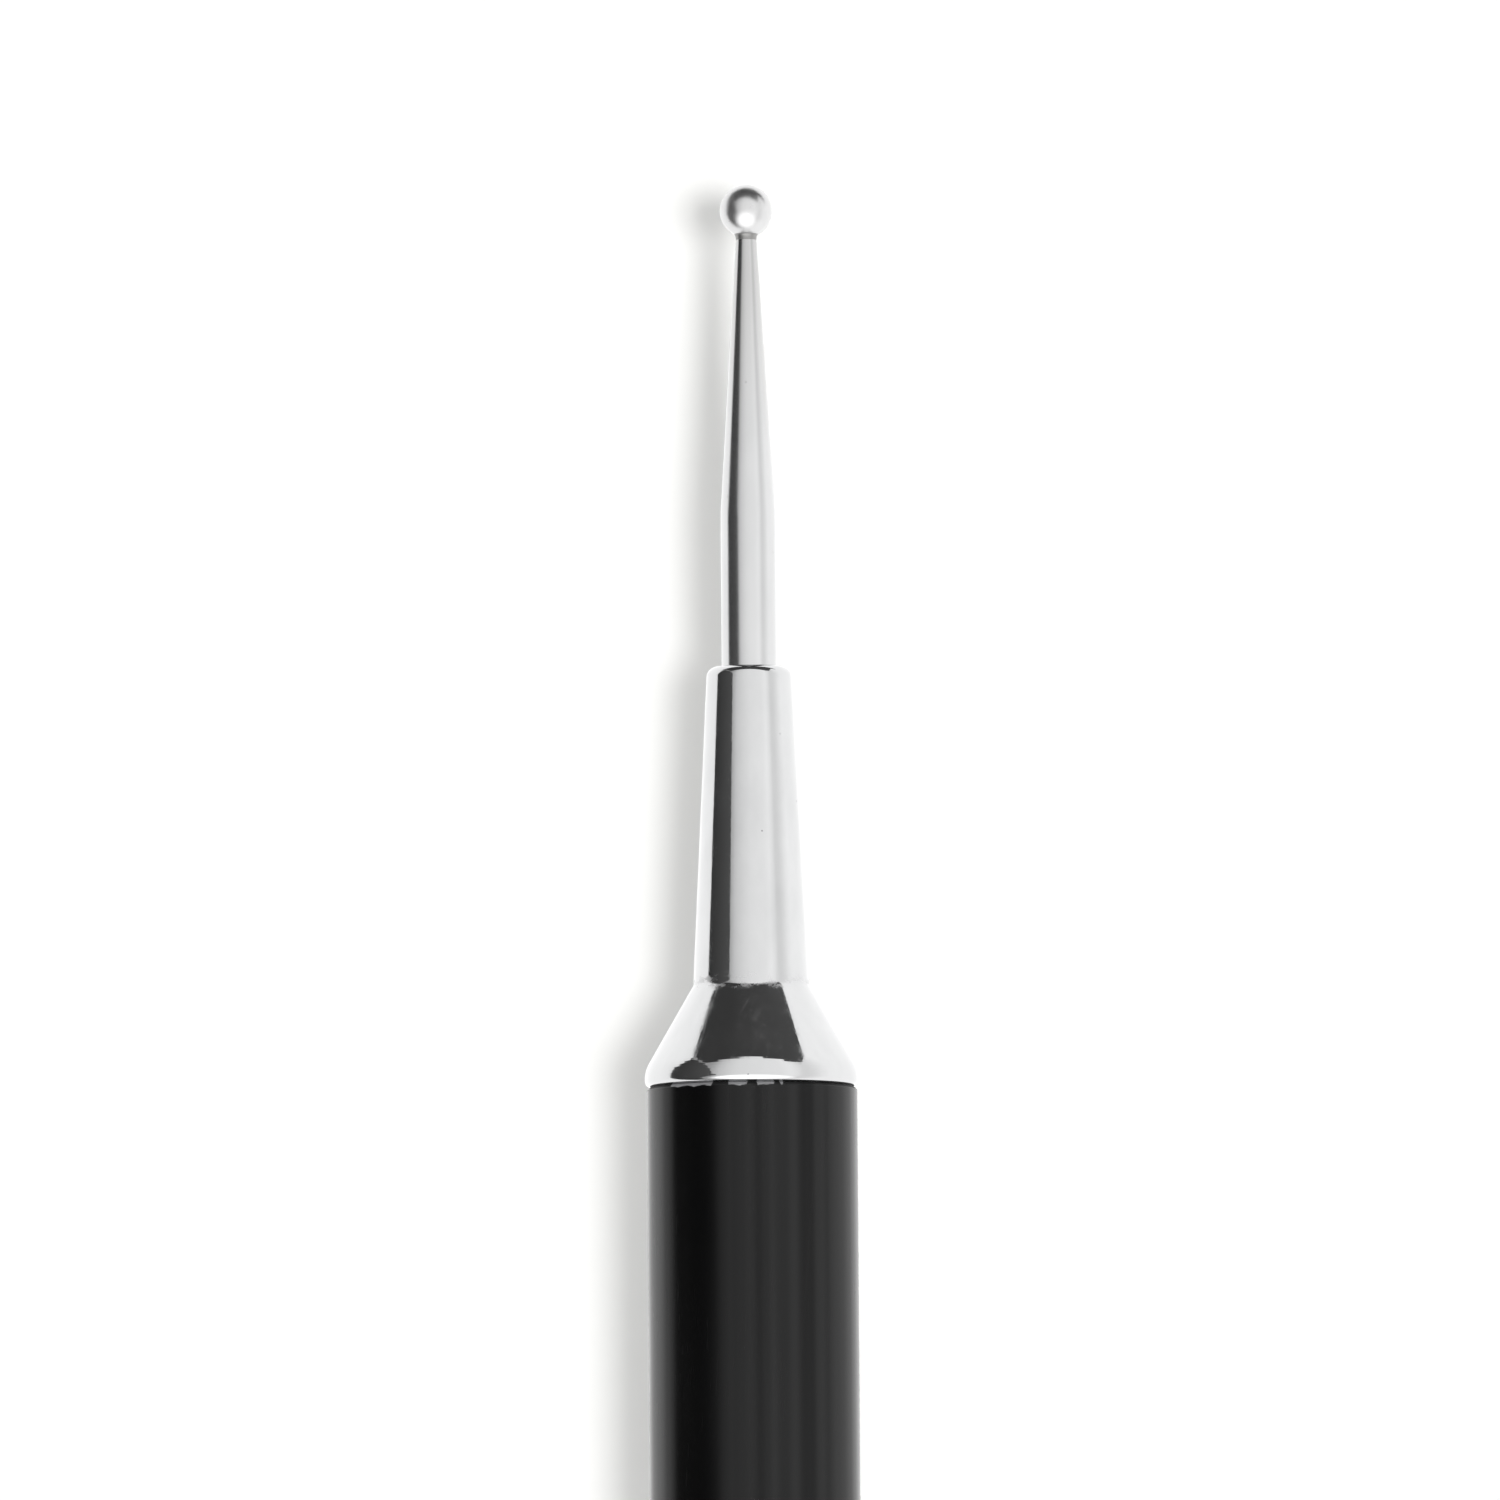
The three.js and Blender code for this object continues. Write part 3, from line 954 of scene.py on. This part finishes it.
TABLE_HALF = TENT_RADIUS * 1.1
TABLE_DROP = 1 * MM
SHEET_LIFT = 0.05 * MM
SHEET_GLOW = (1.2, 1.38)  # painted shade: its glow is dimmer at its left edge
SHEET_SHADE = (-0.055, -0.005)  # x, between which it brightens
SHEET_CORNERS = (  # x and reach, anticlockwise; the dark table shows beyond them
    (-0.046, -1.3), (1.3, -1.3), (1.3, 1.3), (0.95, 1.3), (0.0335, 0.0445), (-0.041, 0.0445),
    (-1.2, 1.3), (-1.25, 1.25), (-0.15, 0.094), (-0.085, 0.04), (-0.055, 0.022), (-0.046, 0.004),
)


def stage_mesh(name, points, faces, material):
    mesh = bpy.data.meshes.new(name)
    mesh.from_pydata(points, [], faces)
    mesh.materials.append(material)
    item = bpy.data.objects.new(name, mesh)
    bpy.context.scene.collection.objects.link(item)
    return item


def only_in_reflections(item):
    item.visible_camera = False
    item.visible_diffuse = False
    item.visible_shadow = False
    item.visible_transmission = False
    item.visible_volume_scatter = False


def make_card(name, points, material):
    """A flat card. Its points run round its edge."""
    only_in_reflections(stage_mesh(name, points, [tuple(range(len(points)))], material))


def shaded_card(name, glows, axis, low, high):
    """A card whose glow changes evenly along an axis, from low to high."""
    card = Finish(name)
    return card.glow(card.ramp(card.coordinates()[axis], low, high, *glows))


def square(half, height):
    """The corners of a level square, anticlockwise."""
    sides = ((-1, -1), (1, -1), (1, 1), (-1, 1))
    return [(x * half, y * half, height) for x, y in sides]


def make_floor():
    paper = Finish("table_paper")
    fibres = paper.grain((900,) * 3, detail=4.0)
    paper.surface(
        Base_Color=paper.blend(fibres, *FLOOR_TONES),
        Roughness=0.9,
        Specular_IOR_Level=0.0,
        Normal=paper.relief((fibres, 3.0)),
    )
    floor = stage_mesh("floor", square(FLOOR_SIZE / 2, 0), [(0, 1, 2, 3)], paper.material)
    floor.visible_glossy = False


def make_reflected_table():
    """What the metal sees below the horizon."""
    sheet = [(x, FRONT.seat + reach, SHEET_LIFT) for x, reach in SHEET_CORNERS]
    # Painted shade: the sheet's glow is dimmer towards its left edge.
    make_card("white_sheet", sheet, shaded_card("white_sheet", SHEET_GLOW, "X", *SHEET_SHADE))
    table = square(TABLE_HALF, -TABLE_DROP)
    make_card("dark_table", table, Finish("dark_table").glow(TABLE_GLOW))


def make_tip_card():
    foot_y, top_y = TIP_CARD_DISTANCE
    corners = []
    for turn in TIP_CARD_FOOT:
        corners.append((foot_y * math.tan(math.radians(turn)), FRONT.seat + foot_y, 0))
    for turn, height in TIP_CARD_TOP:
        away = top_y / math.cos(math.radians(turn))
        x = top_y * math.tan(math.radians(turn))
        corners.append((x, FRONT.seat + top_y, away * math.tan(math.radians(height))))
    right = corners[1][0]
    make_card("tip_card", corners, shaded_card("tip_card", TIP_CARD_GLOW, "X", -right / 2, right))


def make_side_card():
    x = -SIDE_CARD_DISTANCE
    top = [(x, FRONT.seat + reach, height) for reach, height in SIDE_CARD_TOP]
    foot = [(x, top[-1][1], 0), (x, top[0][1], 0)]
    black = shaded_card("side_card", SIDE_CARD_GLOW, "Z", 0.0, SIDE_CARD_HEIGHT)
    make_card("side_card", top + foot, black)


def tent_shade(tent, where):
    """The cloth's brightness across the tool, as a share of the lamp's."""
    across = tent.maths("ARCTAN2", where["X"], where["Z"])
    ramp = tent.tree.nodes.new("ShaderNodeValToRGB")
    tent.wire(tent.ramp(across, -math.pi / 2, math.pi / 2), ramp.inputs[0])
    stops = ramp.color_ramp.elements
    for i, (degrees, glow) in enumerate(TENT_GLOW):
        stop = stops[i] if i < 2 else stops.new(1.0)
        stop.position = (degrees + 90) / 180
        stop.color = (glow / LAMP_GLOW,) * 3 + (1,)
    return ramp.outputs[0]


def tent_material():
    """Glowing cloth, brightest in the lamp's soft disc."""
    tent = Finish("tent_cloth")
    where = tent.coordinates()
    towards = tent.total(
        tent.times(where["Y"], -math.sin(LAMP_TILT) / TENT_RADIUS),
        tent.times(where["Z"], math.cos(LAMP_TILT) / TENT_RADIUS),
    )
    # Painted light: the lamp is this brighter disc in the cloth's own glow.
    disc = tent.ramp(towards, math.cos(LAMP_EDGES[0]), math.cos(LAMP_EDGES[1]))
    return tent.glow(LAMP_GLOW, tent.blend(disc, tent_shade(tent, where), WHITE))


def tent_ring(ring):
    """The points round the tent at one of its heights."""
    height = math.pi / 2 * ring / TENT_RINGS
    flat = TENT_RADIUS * math.cos(height)
    turns = [math.tau * column / TENT_COLUMNS for column in range(TENT_COLUMNS)]
    up = TENT_RADIUS * math.sin(height)
    return [(flat * math.cos(turn), flat * math.sin(turn), up) for turn in turns]


def make_tent():
    """A half-dome of cloth over the table."""
    points = [point for ring in range(TENT_RINGS) for point in tent_ring(ring)]
    points.append((0, 0, TENT_RADIUS))
    rings = [range(i * TENT_COLUMNS, (i + 1) * TENT_COLUMNS) for i in range(TENT_RINGS)]
    rings.append([len(points) - 1] * TENT_COLUMNS)
    faces = []
    for lower, upper in zip(rings, rings[1:]):
        faces += band(lower, upper)
    only_in_reflections(stage_mesh("tent", points, faces, tent_material()))


def make_sky():
    """White where the camera sees it, and a dim even light for everything else."""
    world = bpy.data.worlds.new("studio")
    world.use_nodes = True
    bpy.context.scene.world = world
    nodes, links = world.node_tree.nodes, world.node_tree.links
    lit = nodes["Background"]
    seen = nodes.new("ShaderNodeBackground")
    for background, strength in ((lit, SKY_LIGHT), (seen, 1.0)):
        background.inputs["Color"].default_value = WHITE
        background.inputs["Strength"].default_value = strength
    rays = nodes.new("ShaderNodeLightPath")
    mix = nodes.new("ShaderNodeMixShader")
    links.new(rays.outputs["Is Camera Ray"], mix.inputs[0])
    links.new(lit.outputs[0], mix.inputs[1])
    links.new(seen.outputs[0], mix.inputs[2])
    links.new(mix.outputs[0], nodes["World Output"].inputs["Surface"])


def make_sun(name, direction, brightness, angle, shadow):
    """A lamp that makes the floor that bright. It shows in no reflection."""
    towards = Vector(direction).normalized()
    sun = bpy.data.objects.new(name, bpy.data.lights.new(name, "SUN"))
    sun.data.energy = brightness * math.pi / FLOOR_TONES[0][0] / towards.z
    sun.data.angle = math.radians(angle)
    sun.data.use_shadow = shadow
    sun.rotation_mode = "QUATERNION"
    sun.rotation_quaternion = towards.to_track_quat("Z", "Y")
    sun.visible_glossy = False
    bpy.context.scene.collection.objects.link(sun)


bpy.context.scene.view_settings.view_transform = "Standard"
make_camera()
make_floor()
make_reflected_table()
make_tent()
make_tip_card()
make_side_card()
make_sky()
for sun, (direction, brightness, angle, shadow) in SUNS.items():
    make_sun(sun, direction, brightness, angle, shadow)
